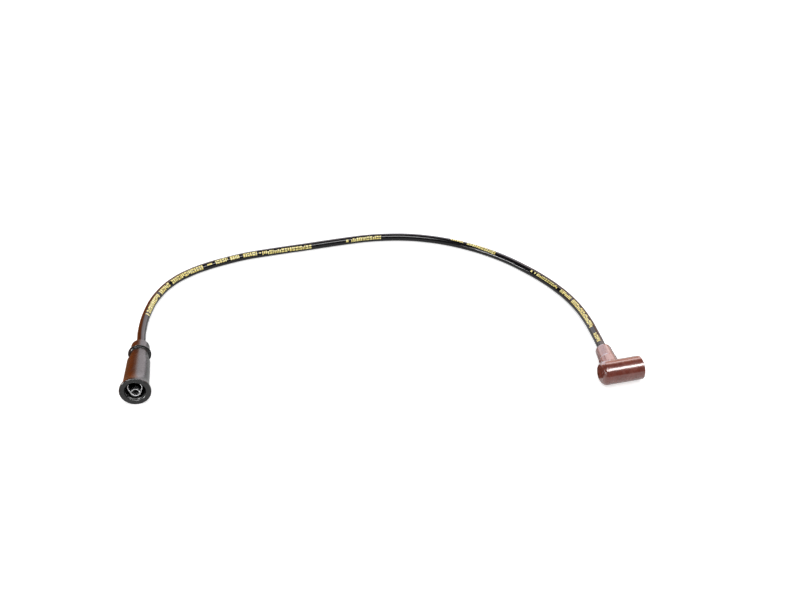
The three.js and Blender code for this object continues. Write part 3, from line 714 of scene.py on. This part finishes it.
# %% [markdown]
# A long strip overhead draws the white line along the cable and the boots. A lamp and a window to the
# left give the glint on the inner lip of the tower boot and the thin line on the far cable. The cards
# behind are what the tops of the boots show: pale ones for the tower boot and the neck of the elbow, a
# brown one for the upper side of its socket. Two cards in one plane would flicker where they overlap,
# so those that do stand a centimetre apart.

# %% The bright cards
UPRIGHT = (90, 0, 0)                     # degrees, facing the viewer

card("overhead_strip", (0.56, -0.37, 1.0), (0, 0, 12), 1.9, 0.44, (14.0, 14.0, 14.0))
card("left_lamp", (-0.26, -0.085, 0.135), (38, 0, -53), 0.12, 0.035, (30.0, 30.0, 30.0))
card("left_window", (-1.15, -0.50, 0.24), (90, 0, 115.5), 0.70, 0.16, (50.0, 50.0, 50.0))
card("back_card", (-0.04, 0.7, 0.27), UPRIGHT, 0.62, 0.54, (3.1, 3.0, 3.3))
card("back_top", (0.02, 0.7, 0.645), UPRIGHT, 0.80, 0.19, (5.4, 4.6, 4.5))
card("rosy_slope", (0.47, 0.69, 0.44), (90, 50, 0), 0.40, 0.22, (4.4, 3.7, 3.6))
card("neck_card", (-0.095, 0.30, 0.115), UPRIGHT, 0.15, 0.17, (3.3, 3.0, 3.1))
card("brown_card", (0.445, 0.71, 0.5), UPRIGHT, 0.35, 1.0, (1.4, 0.8, 0.6))
card("rosy_card", (0.96, 0.7, 0.29), UPRIGHT, 0.68, 0.58, (1.6, 1.2, 1.1))
print("The bright cards are up")

# %% [markdown]
# The warm card gives the streak on the tower boot. It has no hard edge: its colour runs from brown on
# the left to the grey of the card behind, so that the streak fades out towards the top of the boot. A
# warm sheet lies on the table under it. Black cards close the rest of the room, because the white room
# would otherwise lie over all the black rubber as a grey veil. Two small dark sheets on the table are
# painted shadow: they stand in for the shaded table beside the elbow, which its closed end and its mouth
# side show as a darker reflection. A screen keeps the bright window off the elbow.

# %% The warm card
STREAK = (1.1, 0.22, 0.0)
HALF_WAY = (1.6, 0.65, 0.35)
GREY = (3.1, 2.6, 2.6)

paint, shine = card("warm_card", (-0.70, 0.45, 0.19), UPRIGHT, 1.0, 0.38, STREAK)
across = add_node(paint, "SeparateXYZ", Vector=object_place(paint))
share = add_node(paint, "MapRange", Value=across.outputs["X"], From_Min=0.28, From_Max=0.49)
ramp = add_node(paint, "ValToRGB", Fac=share.outputs["Result"])
ramp.color_ramp.elements[0].color = (*STREAK, 1)
ramp.color_ramp.elements[1].color = (*GREY, 1)
middle = ramp.color_ramp.elements.new(0.55)
middle.color = (*HALF_WAY, 1)
paint.node_tree.links.new(ramp.outputs["Color"], shine.inputs["Color"])
card("warm_table", (-0.455, 0.17, 0.0005), (0, 0, 0), 0.5, 0.46, (0.55, 0.19, 0.06))
print("The warm cards are up")

# %% The dark cards
DARK = (0.01, 0.01, 0.01)

# Painted shadow: two dark sheets stand in for the shaded table next to the elbow, and only its reflections
# see them.
card("painted_shadow_left", (0.140, 0.010, 0.0005), (0, 0, 14), 0.055, 0.035, (0.08, 0.03, 0.02))
card("painted_shadow_right", (0.201, 0.038, 0.0005), (0, 0, 14), 0.030, 0.045, (0.08, 0.04, 0.03))
card("dark_screen", (0.10, -0.035, 0.035), (90, 0, 90), 0.13, 0.07, DARK)
card("dark_ceiling", (0.1, -0.1, 1.05), (0, 0, 0), 5.0, 3.4, DARK)
card("dark_left", (-2.3, -0.55, 0.52), (90, 0, 90), 2.5, 1.05, DARK)
card("dark_front", (0.1, -1.8, 0.52), UPRIGHT, 5.0, 1.05, DARK)
print("The dark cards are up")

# %% [markdown]
# ## Colour
# The view keeps colours as they are written.

# %% Finish
bpy.context.scene.view_settings.view_transform = "Standard"
